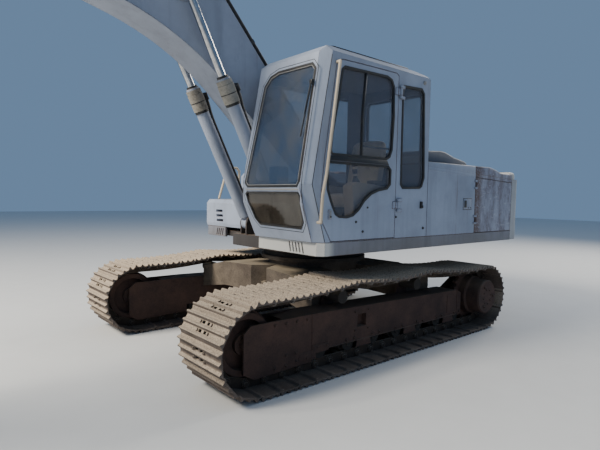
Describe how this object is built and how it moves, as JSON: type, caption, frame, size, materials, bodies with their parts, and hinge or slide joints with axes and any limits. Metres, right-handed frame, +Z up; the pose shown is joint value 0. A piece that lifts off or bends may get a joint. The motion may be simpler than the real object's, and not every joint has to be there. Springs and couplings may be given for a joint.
{
  "type": "crawler excavator, 20 tonne class",
  "caption": "Crawler excavator with slewing cab and engine platform, bent boom, arm and backhoe bucket worked by hydraulic cylinders, on two steel shoe tracks.",
  "frame": {"origin": "on the ground under the slewing axis", "axes": "+X forward along the tracks and boom, +Y to the operator's left, +Z up"},
  "size_m": [8.7565, 3.03, 4.9193],
  "materials": {
    "body_paint": "weathered light grey paint with scuffs and dirt",
    "rusty_steel": "dark brown rust with dust",
    "dark_steel": "oily dark steel",
    "dusty_steel": "steel worn and caked with sandy dust",
    "window_glass": "clear safety glass, dusty",
    "chrome": "ground and chromed rod",
    "seat_cloth": "tan woven seat cloth",
    "interior_plastic": "tan moulded plastic",
    "engine_iron": "oily cast iron",
    "counterweight_paint": "chalky light grey paint",
    "stained_paint": "grey paint scuffed down to purple brown rust",
    "black_rubber": "black rubber, dusty",
    "rail_paint": "sun-bleached tan paint",
    "worn_steel": "bare worn steel"
  },
  "bodies": {
    "undercarriage": {"car_body": "rusty_steel", "slew_ring": "dark_steel", "track_frame_left": "rusty_steel", "track_frame_right": "rusty_steel", "track_left": "dusty_steel", "track_right": "dusty_steel", "drive_left": "rusty_steel", "drive_right": "rusty_steel", "idler_left": "rusty_steel", "idler_right": "rusty_steel", "rollers_left": "dark_steel", "rollers_right": "dark_steel"},
    "upperstructure": {"main_frame": "body_paint", "side_skirts": "body_paint", "cab_shell": "body_paint", "cab_windows": "window_glass", "seat": "seat_cloth", "consoles": "interior_plastic", "left_housing": "body_paint", "right_tanks": "body_paint", "tool_box": "body_paint", "engine_bay": "body_paint", "engine": "engine_iron", "radiator": "engine_iron", "exhaust": "rusty_steel", "counterweight": "counterweight_paint", "swing_motor": "engine_iron", "handrails": "rail_paint"},
    "cab_door": {"cab_door": "body_paint", "door_windows": "window_glass"},
    "left_rear_door": {"left_rear_door": "stained_paint"},
    "right_rear_door": {"right_rear_door": "body_paint"},
    "engine_hood": {"engine_hood": "body_paint"},
    "boom": {"boom": "body_paint", "boom_pipes": "black_rubber"},
    "boom_barrels": {"boom_barrels": "body_paint"},
    "boom_rods": {"boom_rods": "chrome"},
    "arm": {"arm": "body_paint"},
    "arm_barrel": {"arm_barrel": "body_paint"},
    "arm_rod": {"arm_rod": "chrome"},
    "bucket": {"bucket": "worn_steel"},
    "bucket_barrel": {"bucket_barrel": "body_paint"},
    "bucket_rod": {"bucket_rod": "chrome"},
    "tipping_links": {"tipping_links": "worn_steel"},
    "bucket_link": {"bucket_link": "worn_steel"}
  },
  "joints": [
    {"name": "slew", "type": "hinge", "parent": "undercarriage", "child": "upperstructure", "pos_m": [0, 0, 0.96], "axis": [0, 0, 1], "continuous": true},
    {"name": "boom_lift", "type": "hinge", "parent": "upperstructure", "child": "boom", "pos_m": [0.1, 0, 1.7], "axis": [0, -1, 0], "range_deg": [-60, 42]},
    {"name": "boom_barrel_swing", "type": "hinge", "parent": "upperstructure", "child": "boom_barrels", "pos_m": [0.775, 0, 1.28], "axis": [0, -1, 0], "range_deg": [-61.44, 43.07]},
    {"name": "boom_rod_slide", "type": "slide", "parent": "boom_barrels", "child": "boom_rods", "axis": [0.4534, 0, 0.8913], "range_m": [-0.7212, 0.5054]},
    {"name": "arm_crowd", "type": "hinge", "parent": "boom", "child": "arm", "pos_m": [5.25, 0, 4.1], "axis": [0, 1, 0], "range_deg": [-75, 40]},
    {"name": "arm_barrel_swing", "type": "hinge", "parent": "boom", "child": "arm_barrel", "pos_m": [2.75, 0, 4.38], "axis": [0, -1, 0], "range_deg": [-5.14, 9.47]},
    {"name": "arm_rod_slide", "type": "slide", "parent": "arm_barrel", "child": "arm_rod", "axis": [0.9886, 0, 0.1503], "range_m": [-0.9324, 0.4982]},
    {"name": "bucket_curl", "type": "hinge", "parent": "arm", "child": "bucket", "pos_m": [5.14809, 0, 1.18178], "axis": [0, 1, 0], "range_deg": [-88, 92]},
    {"name": "bucket_link_turn", "type": "hinge", "parent": "tipping_links", "child": "bucket_link", "pos_m": [5.77325, 0, 1.43222], "axis": [0, -1, 0], "range_deg": [-43.29, 45.25]},
    {"name": "tipping_link_turn", "type": "hinge", "parent": "arm", "child": "tipping_links", "pos_m": [5.20343, 0, 1.62011], "axis": [0, -1, 0], "range_deg": [-61.49, 58.83]},
    {"name": "bucket_barrel_swing", "type": "hinge", "parent": "arm", "child": "bucket_barrel", "pos_m": [5.76781, 0, 3.74171], "axis": [0, -1, 0], "range_deg": [-4.4, 4.21]},
    {"name": "bucket_rod_slide", "type": "slide", "parent": "bucket_barrel", "child": "bucket_rod", "axis": [0.0024, 0, -1], "range_m": [-0.5215, 0.5451]},
    {"name": "cab_door_turn", "type": "hinge", "parent": "upperstructure", "child": "cab_door", "pos_m": [0.104, 1.392, 2], "axis": [0, 0, 1], "range_deg": [0, 170]},
    {"name": "left_rear_door_turn", "type": "hinge", "parent": "upperstructure", "child": "left_rear_door", "pos_m": [-1.438, 1.382, 1.5], "axis": [0, 0, -1], "range_deg": [0, 120]},
    {"name": "right_rear_door_turn", "type": "hinge", "parent": "upperstructure", "child": "right_rear_door", "pos_m": [-1.438, -1.382, 1.5], "axis": [0, 0, 1], "range_deg": [0, 120]},
    {"name": "engine_hood_turn", "type": "hinge", "parent": "upperstructure", "child": "engine_hood", "pos_m": [-1.446, 0, 1.93429], "axis": [0, 1, 0], "range_deg": [0, 70]}
  ],
  "couplings": [
    {"joint": "boom_barrel_swing", "follows": "boom_lift", "ratio": 1.0207},
    {"joint": "boom_rod_slide", "follows": "boom_lift", "m_per_rad": 0.68678},
    {"joint": "arm_barrel_swing", "follows": "arm_crowd", "ratio": -0.1236},
    {"joint": "arm_rod_slide", "follows": "arm_crowd", "m_per_rad": 0.7108},
    {"joint": "bucket_link_turn", "follows": "bucket_curl", "ratio": 0.4897},
    {"joint": "tipping_link_turn", "follows": "bucket_curl", "ratio": -0.6662},
    {"joint": "bucket_barrel_swing", "follows": "bucket_curl", "ratio": -0.0456},
    {"joint": "bucket_rod_slide", "follows": "bucket_curl", "m_per_rad": 0.33823}
  ]
}
